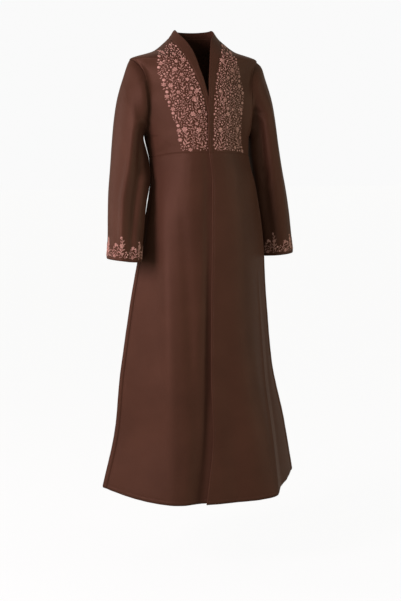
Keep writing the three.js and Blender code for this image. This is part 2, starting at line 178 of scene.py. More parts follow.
def curve(t, start, end, leaving, arriving):
    """A smooth curve from start to end, with its slopes there."""
    return (
        (2 * t**3 - 3 * t**2 + 1) * start
        + (t**3 - 2 * t**2 + t) * leaving
        + (3 * t**2 - 2 * t**3) * end
        + (t**3 - t**2) * arriving
    )


def at(columns, name, z):
    """A column's value at each height, on a smooth curve that never overshoots the rows."""
    heights, values = columns["z"], columns[name]
    step = np.diff(values) / np.diff(heights)
    before, after = step[:-1], step[1:]
    total = np.where(before * after > 0, before + after, 1)
    inner = np.where(before * after > 0, 2 * before * after / total, 0)
    slopes = np.concatenate([step[:1], inner, step[-1:]])
    z = np.clip(z, heights[-1], heights[0])
    i = np.clip(np.searchsorted(-heights, -z, side="right") - 1, 0, len(heights) - 2)
    width = heights[i + 1] - heights[i]
    t = (z - heights[i]) / width
    return curve(t, values[i], values[i + 1], slopes[i] * width, slopes[i + 1] * width)


def in_armhole(z):
    return (z < TIP_Z) & (z > UNDER_Z)


def armhole_x(z):
    return mix(UNDER_X, TIP_X, np.exp(np.minimum(z - TIP_Z, 0) / ARMHOLE_FALL))


def armhole_middle(z):
    return -ARMHOLE_SCOOP * (TIP_Z - z) / (TIP_Z - UNDER_Z)


def armhole_y(face, z):
    middle = (TIP_Z + UNDER_Z) / 2
    up = (z - middle) / (TIP_Z - middle)
    return armhole_middle(z) + face * ARMHOLE_HALF * np.sqrt(np.maximum(0, 1 - up * up))


def cornered(across, plane, soft):
    """From 1 at the centre to 0 at the side line: a plane, a soft corner and a plane."""
    def bend(s):
        return np.hypot(s - plane, soft) + (s - plane)

    return (bend(1) - bend(across)) / (bend(1) - bend(0))


def fold_at(face, across, z):
    total = np.zeros(np.broadcast(across, z).shape)
    for side, top, hem, width, start, height in FOLDS:
        if side == face:
            run = np.clip((start - z) / (start - HEM), 0, 1)
            off = (across - mix(top, hem, run)) / (width * mix(1 + FOLD_SPREAD, 1, run))
            total += height * smooth(run) * bell(off)
    return total


def side_lift(z, turn):
    above = -WAIST_DROP * smooth((UNDER_Z - z) / (UNDER_Z - WAIST))
    lift = np.where(turn < 0, HEM_LIFT[-1], HEM_LIFT[1])
    below = mix(-WAIST_DROP, lift, smooth((WAIST - z) / (WAIST - HEM)))
    return np.where(z > WAIST, above, below)


def half_at(z):
    return np.where(in_armhole(z), armhole_x(z), at(BODY, "half", z))


def below_shoulder(z):
    return smooth((TIP_Z - z) / SHOULDER_RUN)


def across_of(turn, z):
    return mix(np.sin(turn * np.pi / 2), turn, below_shoulder(z))


def turn_of(x, z):
    """The turn at which a row reaches a given x from its middle."""
    target = x / half_at(z)
    low, high = -np.ones_like(target), np.ones_like(target)
    for _ in range(30):
        middle = (low + high) / 2
        short = across_of(middle, z) < target
        low, high = np.where(short, middle, low), np.where(short, high, middle)
    return (low + high) / 2


def body_points(face, turn, z):
    """Points of the outer surface. turn: -1 at the right side line, 0 at the centre, 1 at the left."""
    across = across_of(turn, z)
    wide = np.abs(across)
    line = np.where(in_armhole(z), armhole_y(face, z), at(BODY, "side", z))
    near = at(BODY, "near_front" if face < 0 else "near_back", z)
    middle = at(BODY, "front" if face < 0 else "back", z)
    flat = cornered(wide, at(BODY, "plane", z), at(BODY, "soft", z))
    if face < 0:
        own = cornered(wide, at(BODY, "right_plane", z), at(BODY, "right_soft", z))
        flat = np.where(turn < 0, own, flat)
    profile = mix(np.sqrt(np.maximum(0, 1 - wide * wide)), flat, below_shoulder(z))
    fold = fold_at(face, across, z) * profile
    return np.stack([
        at(BODY, "sway", z) + (half_at(z) + fold) * across,
        near + (middle - near) * profile + (line - near) * wide**LINE_TURN + face * fold,
        z + side_lift(z, turn) * wide**SLOPE_TURN,
    ], -1)


def name_of(side):
    return "right" if side < 0 else "left"


def edge_turn(side, z, line=""):
    """The turn of a front's free edge at a height, or of its "_line" along the neck band."""
    return turn_of(side * at(FRONT_EDGE, name_of(side) + line, z), z)


def front_points(side, turn, z):
    """Points of one of the fronts. The right one moves back where the left one lies on it."""
    points = body_points(-1, turn, z)
    if side < 0:
        over_edge = body_points(-1, edge_turn(1, z), z)[..., 0]
        fall = smooth((FALL_FROM - z) / (FALL_FROM - HEM))
        run = UNDERLAP_RUN + FALL_RUN * fall
        reach = smooth((points[..., 0] - over_edge + run + UNDERLAP_PAST) / run)
        points[..., 1] += (UNDERLAP_DEPTH + FALL_DEPTH * fall) * reach
    return points


def sleeve_rings(side, angles):
    """The sleeve's rings from the armhole to the cuff, at these angles round it."""
    shift_x, swing_ahead, swing_out = SWING[side]

    def below(z):
        return smooth((UNDER_Z - z) / (UNDER_Z - SLEEVE_END))

    top = (UNDER_X, UNDER_Z, TIP_X, TIP_Z, ARMHOLE_HALF, 0, 1)
    rings = []
    for k, (in_x, in_z, out_x, out_z, half_depth, ahead, hollow) in enumerate([top, *SLEEVE]):
        sway = at(BODY, "sway", in_z) * smooth((UNDER_Z - in_z) / SWAY_RUN) * (1 - below(in_z))
        inner = np.array([side * (in_x + swing_out * below(in_z)) + sway, in_z])
        outer = np.array([side * (out_x + swing_out * below(out_z)) + (shift_x if k else 0), out_z])
        up = (1 + np.cos(angles)) / 2
        x, z = inner[0] + (outer[0] - inner[0]) * up, inner[1] + (outer[1] - inner[1]) * up
        arm_z = mix(UNDER_Z, TIP_Z, up)
        x = x + side * hollow * (armhole_x(arm_z) - mix(UNDER_X, TIP_X, up))
        forward = -ahead - swing_ahead * below((in_z + out_z) / 2) if k else armhole_middle(arm_z)
        rings.append(np.stack([x, forward - np.sin(angles) * half_depth, z], -1))
    return np.array(rings)


def through(rows, positions):
    """Rows of points read at fractional positions, on smooth curves through them."""
    last = len(rows) - 1
    i = np.clip(np.floor(positions).astype(int), 0, last - 1)
    t = (positions - i)[:, None, None]
    slopes = np.gradient(rows, axis=0)
    return curve(t, rows[i], rows[i + 1], slopes[i], slopes[i + 1])


# ---- cloth as grids of points ----
EDGE_STEPS = (0, 0.7, 1.4, 2.4, 4, 6, 7.5, 9, 10.5, 12, 15)  # mm from an edge, where the grid is fine
# Even points of each grid between its fine edges, and the width or length it spans, about.
BODICE_COLUMNS, SKIRT_COLUMNS, BAND_COLUMNS = (44, 140), (80, 230), (3, 32)
BACK_COLUMNS, BACK_BAND_COLUMNS, SLEEVE_COLUMNS = (110, 420), (60, 170), (96, 400)
LONG_ROWS = (150, WAIST - HEM)  # of the skirts, and of the back below the waist
BODICE_PARTS, SLEEVE_PARTS = 4, 12  # rows of the grid to each named row and to each sleeve ring
ROW_HEIGHT, RING_HEIGHT = 15.0, 58.0  # between the last two named rows, and the last two rings
HEAD_CLOSER = 3  # as shares of a ring's height, a sleeve's first rows are this much closer
COLLAR_STEPS = 39  # rows of a front's neck band above the first named row
THICKNESS = 1.1  # of the shells, with their facing
FRONT_STITCH, HEM_STITCH, CUFF_STITCH = 6.0, 12.0, 7.0  # topstitching, from the edge
WELT_SHARE = 0.043  # of a row, from the side seam to the edge of its pressed allowance
# How the cloth dips at its edges: depth and width of the dip at the edge itself, then distance,
# depth and width of a line beside it.
EDGE_LOOKS = {
    "seam": (0.9, 1.7, 0, 0, 1),
    "welt": (0.9, 1.7, 0, 0, 1),
    "turned": (0.9, 1.3, 0, 0, 1),
    "front": (0.9, 1.3, FRONT_STITCH, 0.4, 1.3),
    "cuff": (1.6, 2.4, CUFF_STITCH, 0.4, 1.3),
    "hem": (3.2, 3.6, HEM_STITCH, 0.4, 1.3),
}
WELT_DEPTH, WELT_WIDTH = 3.4, 2.1
WAVE_SHARE, LONG_WAVE, SHORT_WAVE = 0.3, 23.0, 9.1  # how much, and how fast, a seam's depth varies
CREASE_END, CREASE_TAPER = 0.02, 0.7  # share of a crease that is its blunt end, and power of its taper


def graded(count, length):
    """Shares from 0 to 1: close steps at both ends and even ones between."""
    near = np.array(EDGE_STEPS) / length
    middle = np.linspace(near[-1], 1 - near[-1], count)[1:-1]
    return np.concatenate([near, middle, 1 - near[::-1]])


def unit(vectors):
    return vectors / np.maximum(np.linalg.norm(vectors, axis=-1, keepdims=True), 1e-9)


def normals_of(points):
    """Outward normals of a grid whose rows run down and whose columns run to the wearer's left."""
    return unit(np.cross(np.gradient(points, axis=0), np.gradient(points, axis=1)))


def lengths_along(points, axis):
    """The length along the grid's lines from their first point to each point."""
    steps = np.linalg.norm(np.diff(points, axis=axis), axis=-1)
    start = np.zeros_like(np.take(steps, [0], axis=axis))
    return np.concatenate([start, np.cumsum(steps, axis=axis)], axis=axis)


def unevenness(along, seed):
    """A slow wave around 1 along an edge, so that no seam is the same all along."""
    return 1 + WAVE_SHARE * np.sin(along / LONG_WAVE + seed) * np.sin(along / SHORT_WAVE + 2.3 * seed)


def edge_relief(distance, along, look, seed):
    """How far the cloth stands in near one of its edges."""
    depth, width, place, line_depth, line_width = EDGE_LOOKS[look]
    wave = unevenness(along, seed)
    relief = -depth * wave * bell(distance / width)
    relief -= line_depth * wave * bell((distance - place) / line_width)
    if look == "welt":
        welt = WELT_SHARE * distance.max(axis=1, keepdims=True)
        relief -= WELT_DEPTH * bell((distance - welt) / WELT_WIDTH)
    return relief


def crease_relief(across, down, creases):
    """Soft troughs and ridges: each has a height, a width and then the points of its path."""
    total = np.zeros(across.shape)
    for height, width, *path in creases:
        nearest, where = np.full(across.shape, 1e9), np.zeros(across.shape)
        for k, (start, end) in enumerate(zip(path, path[1:])):
            run = np.subtract(end, start)
            t = ((across - start[0]) * run[0] + (down - start[1]) * run[1]) / (run @ run)
            t = np.clip(t, 0, 1)
            off = np.hypot(across - start[0] - t * run[0], down - start[1] - t * run[1])
            where = np.where(off < nearest, (k + t) / (len(path) - 1), where)
            nearest = np.minimum(nearest, off)
        taper = np.sin(np.pi * np.clip(where, CREASE_END, 1 - CREASE_END)) ** CREASE_TAPER
        total += height * taper * bell(nearest / width)
    return total


def finished(points, looks, creases, seed):
    """The grid with its creases, seams and turned edges pressed into it, and its normals.

    looks names those of the first column, the last column, the first row and the last row.
    """
    normals = normals_of(points)
    across, down = lengths_along(points, 1), lengths_along(points, 0)
    distances = (across, across[:, -1:] - across, down, down[-1:] - down)
    alongs = (down, down, across, across)
    relief = creases
    for k, (distance, along, look) in enumerate(zip(distances, alongs, looks)):
        relief = relief + edge_relief(distance, along, look, seed + k)
    return points + normals * relief[..., None], normals, across, down


# ---- creases, in millimetres across (x) and up (z); round a sleeve, in degrees and z ----
FRONT_CREASES = {-1: [
    (-1.6, 9, (-141, -300), (-118, -288), (-104, -262)),
    (1.2, 10, (-146, -318), (-124, -312), (-108, -300)),
    (-1.3, 13, (-128, -320), (-133, -420), (-141, -520)),
    (1.6, 14, (-150, -140), (-140, -200), (-138, -262)),
    (-1.1, 11, (-60, -300), (-66, -360), (-64, -455)),
    (5.0, 17, (-123, -280), (-123, -454), (-122, -700), (-125, -1000), (-131, -1400)),
    (-4.0, 18, (-84, -280), (-80, -454), (-72, -740), (-62, -1000), (-52, -1400)),
    (-4.5, 15, (-5, -240), (-11, -480), (-8, -741), (-10, -949), (-40, -1290), (-44, -1480)),
    (-1.6, 18, (-168, -800), (-190, -980), (-214, -1200)),
], 1: [
    (-1.2, 9, (150, -302), (128, -286), (112, -268)),
    (1.1, 12, (134, -322), (139, -400), (150, -505)),
    (8.0, 16, (150, -110), (147, -180), (144, -240), (143, -300), (149, -400)),
    (-1.0, 12, (64, -298), (60, -350), (63, -425)),
    (1.5, 14, (128, -820), (147, -1010), (170, -1220)),
    (3.2, 5, (166, -640), (172, -800), (178, -1000), (186, -1160), (194, -1290)),
    (-2.6, 8, (190, -760), (202, -940), (216, -1110), (228, -1270)),
]}
BACK_CREASES = [
    (-2.2, 12, (-96, -262), (-58, -280), (-16, -276)),
    (1.8, 13, (-92, -286), (-50, -302), (-6, -300)),
    (-2.0, 11, (30, -296), (74, -284), (118, -252)),
    (1.7, 14, (38, -316), (80, -306), (114, -282)),
    (-1.7, 16, (-108, -90), (-96, -150), (-99, -214)),
    (1.5, 15, (104, -84), (97, -160), (104, -222)),
    (-2.4, 17, (-30, -350), (-36, -560), (-20, -800)),
    (2.2, 18, (66, -330), (78, -520), (92, -690)),
    (-1.8, 15, (-110, -360), (-124, -500), (-150, -720)),
]
SLEEVE_CREASES = {-1: [
    (8.0, 12, (78, -196), (72, -306), (61, -420), (60, -520), (64, -620)),
    (-12.0, 18, (114, -206), (108, -312), (100, -426), (97, -525), (100, -630)),
    (9.0, 15, (56, -88), (72, -116), (92, -154), (108, -183), (122, -206), (137, -230)),
    (3.0, 6, (78, -210), (98, -206), (124, -212), (148, -226)),
    (6.0, 15, (158, -236), (160, -300), (158, -370), (156, -430)),
    (-2.4, 5, (92, -66), (72, -80), (54, -96)),
    (-2.0, 4.5, (112, -84), (92, -100), (74, -118)),
    (-2.8, 14, (150, -318), (124, -338), (100, -344)),
    (2.2, 13, (152, -352), (128, -368), (104, -372)),
    (-2.2, 16, (136, -430), (124, -490), (130, -560)),
    (2.0, 12, (206, -340), (236, -356), (272, -350)),
    (-2.3, 13, (200, -372), (240, -392), (280, -380)),
    (1.6, 15, (20, -120), (8, -260), (12, -420)),
], 1: [
    (-1.8, 5, (62, -58), (80, -82), (98, -94)),
    (4.0, 11, (44, -80), (56, -180), (62, -300), (64, -430), (68, -560)),
    (-15.0, 25, (108, -110), (116, -200), (124, -300), (131, -420), (134, -620)),
    (-3.0, 9, (74, -196), (98, -176), (124, -164)),
    (-2.2, 12, (100, -338), (126, -356), (150, -350)),
    (1.9, 13, (104, -384), (130, -398), (152, -390)),
    (-1.8, 15, (120, -450), (116, -510), (124, -570)),
    (2.1, 12, (212, -330), (244, -350), (278, -344)),
    (-2.2, 13, (204, -368), (240, -384), (276, -374)),
    (-1.5, 15, (350, -140), (346, -280), (352, -430)),
]}
DEGREE = 1.1  # millimetres round a sleeve to one degree
ALLOWANCE, ALLOWANCE_DEPTH = 6.0, 1.5  # how far a sleeve head reaches under the body, and how deep
ARMHOLE_FADE = 14.0  # creases of a sleeve begin over this length below its seam


# ---- the panels ----
def bodice_rows():
    """Rows as (side, line, edge) heights, closer at the shoulder and at the waist seam."""
    middle, reach = (TIP_Z + UNDER_Z) / 2, (TIP_Z - UNDER_Z) / 2
    arm = [middle + reach * cos(pi * k / ARMHOLE_STEPS) for k in range(ARMHOLE_STEPS + 1)]
    rows = np.array(COLLAR_ROWS + [(z, z, z) for z in (*arm, *WAIST_ROWS)], float)
    last = len(rows) - 1
    near = np.array(EDGE_STEPS[1:-1]) / ROW_HEIGHT
    even = np.linspace(0, last, last * BODICE_PARTS + 1)
    positions = np.unique(np.concatenate([even, near, last - near]))
    return np.stack([np.interp(positions, range(last + 1), column) for column in rows.T], -1)


def between(start, end, shares):
    return start[:, None] + (end - start)[:, None] * shares


def leftwards(side, *grids):
    """Grids laid out from the centre outwards, turned so that their columns run to the left."""
    return [grid if side > 0 else grid[:, ::-1] for grid in grids]


def bodice_grid(side):
    rows = bodice_rows()
    shares = graded(*BODICE_COLUMNS)
    turns = between(edge_turn(side, rows[:, 1], "_line"), np.full(len(rows), float(side)), shares)
    heights = between(rows[:, 1], rows[:, 0], shares)
    return leftwards(side, turns, heights)


def skirt_grid(side):
    heights = mix(WAIST, HEM, graded(*LONG_ROWS))
    edge = edge_turn(side, heights)
    turns = between(edge, np.full(len(heights), float(side)), graded(*SKIRT_COLUMNS))
    return leftwards(side, *np.broadcast_arrays(turns, heights[:, None]))


def band_grid(side):
    rows = bodice_rows()
    shares = graded(*BAND_COLUMNS)
    first = rows[0]
    along = np.linspace(0, 1, COLLAR_STEPS, endpoint=False)
    edge_turns = mix(float(side), edge_turn(side, first[2:3]), along)
    line_turns = mix(float(side), edge_turn(side, first[1:2], "_line"), along)
    edge_turns = np.concatenate([edge_turns, edge_turn(side, rows[:, 2])])
    line_turns = np.concatenate([line_turns, edge_turn(side, rows[:, 1], "_line")])
    edge_heights = np.concatenate([mix(COLLAR_TOP, first[2], along**COLLAR_BEND), rows[:, 2]])
    line_heights = np.concatenate([mix(first[0], first[1], along), rows[:, 1]])
    turns = between(edge_turns, line_turns, shares)
    return leftwards(side, turns, between(edge_heights, line_heights, shares))


def back_grid():
    rows = bodice_rows()[:, 0]
    heights = np.concatenate([rows, mix(WAIST, HEM, graded(*LONG_ROWS))[1:]])
    turns = mix(1.0, -1.0, graded(*BACK_COLUMNS))
    return np.broadcast_arrays(turns, heights[:, None])


def back_band_grid():
    turns = mix(1.0, -1.0, graded(*BACK_BAND_COLUMNS))
    top = COLLAR_TOP - COLLAR_BACK_DIP * (1 - turns**2)
    heights = mix(top, COLLAR_ROWS[0][0], graded(*BAND_COLUMNS)[:, None])
    return np.broadcast_arrays(turns, heights)


def front_panel(side, turns, heights, looks, seed):
    """A finished grid on one of the fronts. looks go from the centre outwards."""
    points = front_points(side, turns, heights)
    relief = crease_relief(points[..., 0], points[..., 2], FRONT_CREASES[side])
    inner, outer, top, bottom = looks
    ordered = (inner, outer, top, bottom) if side > 0 else (outer, inner, top, bottom)
    return finished(points, ordered, relief, seed)


def back_panel(turns, heights, looks, seed):
    points = body_points(1, turns, heights)
    relief = crease_relief(points[..., 0], points[..., 2], BACK_CREASES)
    return finished(points, looks, relief, seed)


def sleeve_panel(side):
    """A finished grid round a sleeve, sewn along its inner side."""
    degrees = mix(180.0, 540.0 if side < 0 else -180.0, graded(*SLEEVE_COLUMNS))
    last = len(SLEEVE)
    near = np.array(EDGE_STEPS[1:]) / RING_HEIGHT
    even = np.linspace(0, last, last * SLEEVE_PARTS + 1)
    positions = np.concatenate([even, last - near, near / HEAD_CLOSER])
    points = through(sleeve_rings(side, np.radians(degrees)), np.unique(positions))
    across = np.repeat((degrees % 360)[None], len(points), 0) * DEGREE
    creases = [
        (height, width, *[(turn * DEGREE, z) for turn, z in path])
        for height, width, *path in SLEEVE_CREASES[side]
    ]
    fade = smooth(lengths_along(points, 0) / ARMHOLE_FADE)
    relief = crease_relief(across, points[..., 2], creases) * fade
    return finished(points, ("seam", "seam", "seam", "cuff"), relief, 7)


def tucked_in(grid, side):
    """A sleeve's grid with one row more before its first, which lies under the body's edge."""
    points, normals, across, down = grid
    inwards = np.array([-side, 0.0, 0.0])
    first = points[0] + inwards * ALLOWANCE - normals[0] * ALLOWANCE_DEPTH
    return (
        np.concatenate([first[None], points]),
        np.concatenate([normals[:1], normals]),
        np.concatenate([across[:1], across]),
        np.concatenate([down[:1] - ALLOWANCE, down]),
    )


# ---- meshes ----
SHARP_ANGLE = radians(52)  # where the shading breaks


def new_object(name, data):
    obj = bpy.data.objects.new(name, data)
    scene.collection.objects.link(obj)
    return obj


def mesh_object(name, points, faces, material, uv=None):
    """A mesh object from points in millimetres, riding on the part's one body."""
    mesh = bpy.data.meshes.new(name)
    mesh.from_pydata((np.asarray(points) * MM).tolist(), [], np.asarray(faces).tolist())
    if uv is not None:
        corners = np.zeros(len(mesh.loops), np.int32)
        mesh.loops.foreach_get("vertex_index", corners)
        layer = mesh.uv_layers.new(name="cloth")
        layer.data.foreach_set("uv", (uv[corners] * MM).astype(np.float32).ravel())
    mesh.polygons.foreach_set("use_smooth", np.ones(len(mesh.polygons), bool))
    mesh.set_sharp_from_angle(angle=SHARP_ANGLE)
    mesh.materials.append(material)
    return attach(new_object(name, mesh), "root")


def grid_faces(rows, columns, first):
    """Quads of a grid of points, numbered from first, facing the way of normals_of."""
    corner = first + np.arange(rows * columns).reshape(rows, columns)
    quads = (corner[:-1, :-1], corner[1:, :-1], corner[1:, 1:], corner[:-1, 1:])
    return np.stack(quads, -1).reshape(-1, 4)


def rim_faces(rows, columns):
    """Quads that join the outer and the inner layer of a shell all round."""
    corner = np.arange(rows * columns).reshape(rows, columns)
    loop = np.concatenate([corner[0, :-1], corner[:-1, -1], corner[-1, :0:-1], corner[:0:-1, 0]])
    after = np.roll(loop, -1)
    inner = rows * columns
    return np.stack([loop, after, after + inner, loop + inner], -1)


def cloth_shell(name, grid, material):
    """A thin closed shell: the finished grid outside and the same grid moved in."""
    points, normals, across, down = grid
    rows, columns = points.shape[:2]
    layers = np.concatenate([points.reshape(-1, 3), (points - normals * THICKNESS).reshape(-1, 3)])
    faces = np.concatenate([
        grid_faces(rows, columns, 0),
        grid_faces(rows, columns, rows * columns)[:, ::-1],
        rim_faces(rows, columns),
    ])
    uv = np.stack([across, down], -1).reshape(-1, 2)
    return mesh_object(name, layers, faces, material, np.concatenate([uv, uv]))


def joined(parts):
    """Several (points, faces) meshes as one."""
    starts = np.cumsum([0] + [len(points) for points, _ in parts])
    faces = [part_faces + start for (_, part_faces), start in zip(parts, starts)]
    return np.concatenate([points for points, _ in parts]), np.concatenate(faces)


# ---- topstitching ----
STITCH_PITCH, STITCH_LENGTH, STITCH_HALF, STITCH_LIFT = 3.4, 2.5, 0.32, 0.1


def read_along(where, run, values):
    """Points or normals of a line, read where its length has reached these values."""
    return np.stack([np.interp(where, run, values[:, k]) for k in range(3)], -1)


def line_at(grid, edge, distance):
    """Points and normals on a finished grid along one edge, at a distance from it."""
    points, normals, across, down = grid
    if edge == "last_row":
        points, normals, across = points.swapaxes(0, 1), normals.swapaxes(0, 1), down.T
    if edge.startswith("last"):
        points, normals = points[:, ::-1], normals[:, ::-1]
        across = across[:, -1:] - across[:, ::-1]
    line = [read_along(distance, run, row) for run, row in zip(across, points)]
    up = [read_along(distance, run, row) for run, row in zip(across, normals)]
    return np.array(line), unit(np.array(up))


def stitches(grid, edge, distance, skip=0.0):
    """A row of stitches, each a slim grain that lies half sunk in the cloth."""
    line, up = line_at(grid, edge, distance)
    run = np.concatenate([[0], np.cumsum(np.linalg.norm(np.diff(line, axis=0), axis=1))])
    starts = np.arange(skip + 1, run[-1] - STITCH_PITCH - skip, STITCH_PITCH)
    start, end = read_along(starts, run, line), read_along(starts + STITCH_LENGTH, run, line)
    lift = unit(read_along(starts + STITCH_LENGTH / 2, run, up))
    beside = unit(np.cross(lift, end - start)) * STITCH_HALF
    middle = (start + end) / 2 + lift * STITCH_LIFT
    corners = [start, middle + lift * STITCH_HALF, middle + beside, middle - beside, end]
    faces = np.array([(0, 2, 1), (0, 1, 3), (4, 1, 2), (4, 3, 1), (0, 3, 2), (4, 2, 3)])
    points = np.stack(corners, 1).reshape(-1, 3)
    return points, (faces[None] + 5 * np.arange(len(starts))[:, None, None]).reshape(-1, 3)


# ---- embroidery: raised motifs of a plain floral design, laid out on the flat and pressed on ----
SINK = 0.25  # how deep a motif's foot lies in the cloth
KNOT, LEAFLET, BUD, BLOSSOM = 1.5, 2.1, 3.0, 5.6  # radii that the small motifs take
BERRY, BERRY_REACH = 1.9, 4.4  # radius, and how far they stand from the stem
STEM_WIDTH, STEM_HEIGHT, STEM_STEP, STEM_AIR = 1.9, 0.75, 3.2, 1.3
LEAF_STEPS, LEAF_HEIGHT, PETALS, PETAL_HEIGHT = 5, 0.95, 6, 1.0
DOME_SHOULDER = (0.62, 0.86)  # share of a dome's radius and of its height at its upper ring


def dome(centre, radius, height, sides=9):
    """A round, filled motif as (points, faces); a point is (across, up the cloth, height)."""
    turn = np.linspace(0, 2 * np.pi, sides, endpoint=False)
    rings = [(DOME_SHOULDER[0], DOME_SHOULDER[1] * height), (1, -SINK)]
    points = [[(0, 0, height)]] + [
        np.stack([np.cos(turn) * share * radius, np.sin(turn) * share * radius, turn * 0 + level], -1)
        for share, level in rings
    ]
    points = np.concatenate(points) + [*centre, 0]
    k = np.arange(sides)
    after = (k + 1) % sides
    top = np.stack([k * 0, 1 + k, 1 + after], -1)
    low = np.stack([1 + k, 1 + sides + k, 1 + sides + after], -1)
    high = np.stack([1 + k, 1 + sides + after, 1 + after], -1)
    return points, np.concatenate([top, low, high])


def blade(path, widths, heights):
    """A strip with a raised middle along a path: a leaf, a petal or a stem."""
    along = unit(np.gradient(path, axis=0))
    beside = np.stack([-along[:, 1], along[:, 0]], -1) * widths[:, None] / 2
    low = np.full((len(path), 1), -SINK)
    rows = np.stack([
        np.hstack([path + beside, low]),
        np.hstack([path, heights[:, None]]),
        np.hstack([path - beside, low]),
    ], 1)
    faces = []
    for j in range(len(path) - 1):
        for i in range(2):
            a, b = 3 * j + i, 3 * j + 3 + i
            faces += [(a, b, b + 1), (a, b + 1, a + 1)]
    return rows.reshape(-1, 3), np.array(faces)


def walk(root, heading, bend, count, step):
    """A path of this many steps from its root, on a heading in radians that turns by bend."""
    turn = heading + bend * np.linspace(0, 1, count)
    steps = np.stack([np.cos(turn), np.sin(turn)], -1) * step
    return root + np.concatenate([[(0, 0)], np.cumsum(steps, axis=0)])


def leaf(root, heading, length, width, bend=0.0, height=LEAF_HEIGHT):
    """A pointed leaf, bent along its length."""
    path = walk(root, heading, bend, LEAF_STEPS + 1, length / LEAF_STEPS)[:-1]
    t = np.linspace(0, 1, LEAF_STEPS + 1)
    shape = np.sin(np.pi * np.clip(t * 0.92 + 0.06, 0, 1)) ** 0.8
    return blade(path, width * shape, height * shape - 0.05)


def stem(path):
    size = np.linspace(1, 0.65, len(path))
    return blade(path, STEM_WIDTH * size, STEM_HEIGHT * size)


def flower(centre, radius, turn):
    """Petals round a knot."""
    parts = []
    for k in range(PETALS):
        heading = turn + 2 * pi * k / PETALS
        root = np.array(centre) + 0.22 * radius * np.array([cos(heading), sin(heading)])
        parts.append(leaf(root, heading, radius * 0.85, radius * 0.72, height=PETAL_HEIGHT))
    return [*parts, dome(centre, radius * 0.3, 1.3, 7)]


def spray(parts, circles, root, heading, length, bend, leaves, size, tip):
    """Adds a bent stem with leaves or berries on alternate sides, and a flower or bud on its tip."""
    heading, count = radians(heading), max(5, int(length / STEM_STEP))
    path = walk(root, heading, radians(bend), count, length / count)
    parts.append(stem(path))
    circles += [(*point, STEM_AIR) for point in path]
    along = unit(np.gradient(path, axis=0))
    for k in range(2 * leaves):
        spot = int(round((k + 1) / (2 * leaves + 1) * (len(path) - 1)))
        hand = 1 if k % 2 else -1
        way = atan2(along[spot, 1], along[spot, 0]) + hand * (0.95 - 0.12 * k / leaves)
        grown = size * (1.05 - 0.17 * k / leaves)
        aside = np.array([cos(way), sin(way)])
        if tip == "berries":
            berry = path[spot] + aside * BERRY_REACH
            parts.append(dome(berry, BERRY, 1.1, 7))
            circles.append((*berry, BERRY))
        else:
            parts.append(leaf(path[spot], way, grown, grown * 0.33, -0.5 * hand))
            circles.append((*(path[spot] + aside * grown * 0.55), grown * 0.34))
    if tip == "flower":
        parts += flower(path[-1], size * 0.62, heading)
    else:
        parts.append(dome(path[-1], BUD, 1.5))
    circles.append((*path[-1], size * 0.66 if tip == "flower" else BUD))


# Sprays of one front: share across from the band's seam to the outer line, z, heading in degrees
# (0 outwards, 90 up), length, bend in degrees, pairs of leaves, leaf size and tip.
BODICE_SPRAYS = [
    (0.10, -281, 40, 58, 70, 4, 12.5, "flower"),
    (0.52, -282, 78, 62, 36, 5, 12.0, "berries"),
    (0.90, -278, 128, 54, -62, 4, 12.5, "flower"),
    (0.12, -224, 80, 46, -52, 4, 11.0, "berries"),
    (0.48, -222, 48, 42, 84, 3, 11.5, "flower"),
    (0.86, -208, 102, 44, 36, 3, 11.0, "bud"),
    (0.34, -178, 124, 38, -76, 3, 10.5, "flower"),
    (0.62, -174, 58, 44, 62, 4, 11.0, "berries"),
    (0.12, -152, 28, 38, 92, 3, 11.0, "flower"),
    (0.90, -144, 130, 42, -70, 3, 11.0, "flower"),
    (0.50, -124, 96, 38, -48, 3, 10.5, "bud"),
    (0.14, -98, 62, 38, 50, 3, 10.0, "berries"),
    (0.70, -98, 68, 40, 62, 3, 11.0, "flower"),
    (0.90, -70, 122, 34, -50, 3, 9.5, "berries"),
    (0.34, -64, 82, 34, 50, 3, 10.0, "flower"),
    (0.14, -38, 50, 30, 60, 2, 9.0, "bud"),
    (0.72, -36, 102, 28, -40, 2, 9.0, "flower"),
    (0.32, -8, 62, 20, 40, 1, 8.0, "bud"),
]
# Where the embroidery of each front ends outwards: x from the middle of the body.
OUTER_LINE = table("z right left", [
    (24, 84, 80),
    (-10, 118, 86),
    (-26, 128, 98),
    (-52, 130, 106),
    (-94, 120, 116),
    (-133, 115, 122),
    (-168, 104, 118),
    (-207, 92, 112),
    (-252, 82, 112),
    (-290, 80, 114),
])
EMBROIDERY_TOP, EMBROIDERY_FOOT = 16.0, -286.0
RIDGE_SHARE = 0.9  # it stays this side of the shoulder seam
BAND_CLEAR = 3.5  # and this far from the neck band
BORDERS = ((1.0, 16.0, BLOSSOM), (0.0, 14.0, BUD * 1.15))  # share across, pitch and radius
BORDER_SWAY = 2.5
BODICE_FILL, BODICE_AIR, BODICE_SEED = 1.35, 1.15, 21  # pitch and air of the small motifs
SKIPPED, LEAFY = 0.3, 0.7  # share of the spots left for a smaller motif, and of leaflets with a point


def zone_at(side, z):
    """The inner and the outer x of the embroidery at a height, outwards from the middle."""
    inner = at(FRONT_EDGE, name_of(side) + "_line", z) + BAND_CLEAR
    outer = np.minimum(at(OUTER_LINE, name_of(side), z), RIDGE_SHARE * half_at(z))
    return inner, np.maximum(outer, inner + 1)


def is_free(circles, x, y, radius, air):
    """Whether a round motif fits here, clear of every circle (x, y, radius)."""
    circles = np.asarray(circles)
    near = np.hypot(circles[:, 0] - x, circles[:, 1] - y) - circles[:, 2]
    return bool(np.all(near > radius + air))


